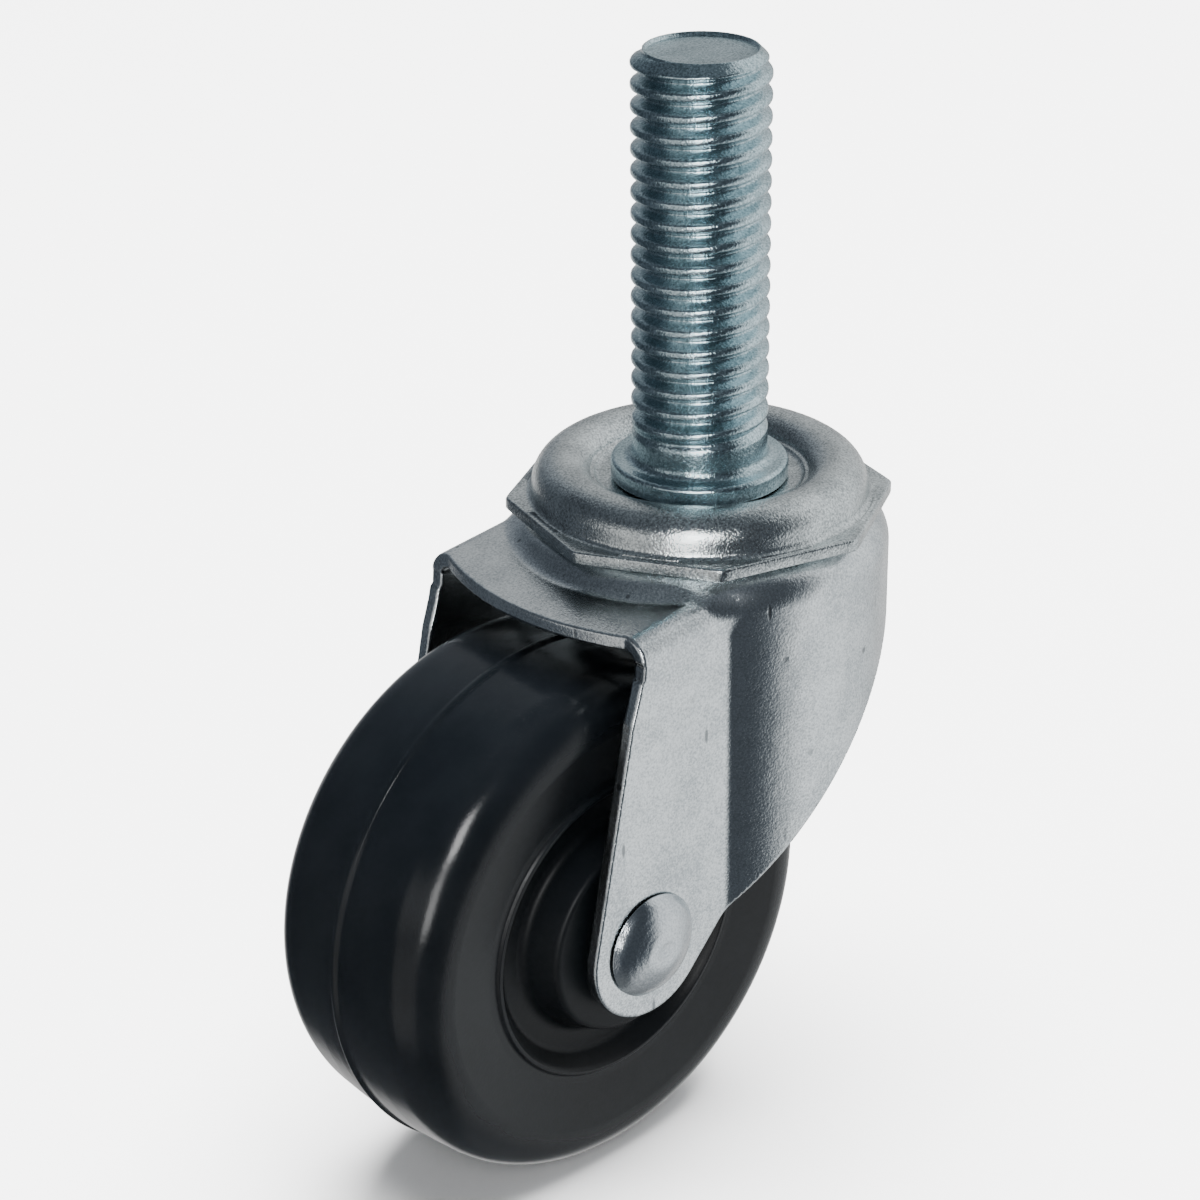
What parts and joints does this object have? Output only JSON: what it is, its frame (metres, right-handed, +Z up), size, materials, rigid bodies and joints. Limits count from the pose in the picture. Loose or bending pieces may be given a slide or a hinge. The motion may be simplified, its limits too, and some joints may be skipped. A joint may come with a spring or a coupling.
{
  "type": "threaded stem swivel caster",
  "caption": "Swivel caster with a threaded stem, an octagonal ball race plate, a stamped sheet steel fork and a solid rubber wheel on a riveted axle.",
  "frame": {"origin": "on the stem axis, in the plane of the collar's top face, where the caster seats against what it is screwed into", "axes": "+Z up along the stem, which is the swivel axis; the axle lies along Y; the wheel trails towards -X; the formed rivet head is on -Y"},
  "size_m": [0.0632, 0.0356, 0.101],
  "materials": {
    "blue_zinc": "bright blue zinc plate",
    "zinc_sheet": "bright zinc plate on pressed sheet",
    "zinc_rivet": "bright zinc plate",
    "bearing_steel": "polished steel ball",
    "plain_steel": "drawn steel tube",
    "black_rubber": "glossy moulded rubber"
  },
  "bodies": {
    "stem_group": {"threaded_stem": "blue_zinc", "top_race": "zinc_sheet", "lower_race": "zinc_sheet"},
    "fork_group": {"fork": "zinc_sheet", "axle_rivet": "zinc_rivet", "axle_bush": "plain_steel"},
    "upper_ball_ring": {"upper_ball_01": "bearing_steel", "upper_ball_02": "bearing_steel", "upper_ball_03": "bearing_steel", "upper_ball_04": "bearing_steel", "upper_ball_05": "bearing_steel", "upper_ball_06": "bearing_steel", "upper_ball_07": "bearing_steel", "upper_ball_08": "bearing_steel", "upper_ball_09": "bearing_steel", "upper_ball_10": "bearing_steel", "upper_ball_11": "bearing_steel", "upper_ball_12": "bearing_steel", "upper_ball_13": "bearing_steel", "upper_ball_14": "bearing_steel", "upper_ball_15": "bearing_steel", "upper_ball_16": "bearing_steel", "upper_ball_17": "bearing_steel", "upper_ball_18": "bearing_steel"},
    "lower_ball_ring": {"lower_ball_01": "bearing_steel", "lower_ball_02": "bearing_steel", "lower_ball_03": "bearing_steel", "lower_ball_04": "bearing_steel", "lower_ball_05": "bearing_steel", "lower_ball_06": "bearing_steel", "lower_ball_07": "bearing_steel", "lower_ball_08": "bearing_steel", "lower_ball_09": "bearing_steel", "lower_ball_10": "bearing_steel", "lower_ball_11": "bearing_steel"},
    "wheel_group": {"wheel": "black_rubber"}
  },
  "joints": [
    {"name": "swivel", "type": "hinge", "parent": "stem_group", "child": "fork_group", "pos_m": [0, 0, -0.005], "axis": [0, 0, 1], "continuous": true},
    {"name": "wheel_spin", "type": "hinge", "parent": "fork_group", "child": "wheel_group", "pos_m": [-0.02, 0, -0.0375], "axis": [0, 1, 0], "continuous": true},
    {"name": "upper_ball_orbit", "type": "hinge", "parent": "stem_group", "child": "upper_ball_ring", "pos_m": [0, 0, -0.00275], "axis": [0, 0, 1], "continuous": true},
    {"name": "lower_ball_orbit", "type": "hinge", "parent": "stem_group", "child": "lower_ball_ring", "pos_m": [0, 0, -0.00735], "axis": [0, 0, 1], "continuous": true}
  ],
  "couplings": [
    {"joint": "upper_ball_orbit", "follows": "swivel", "ratio": 0.5},
    {"joint": "lower_ball_orbit", "follows": "swivel", "ratio": 0.5}
  ]
}
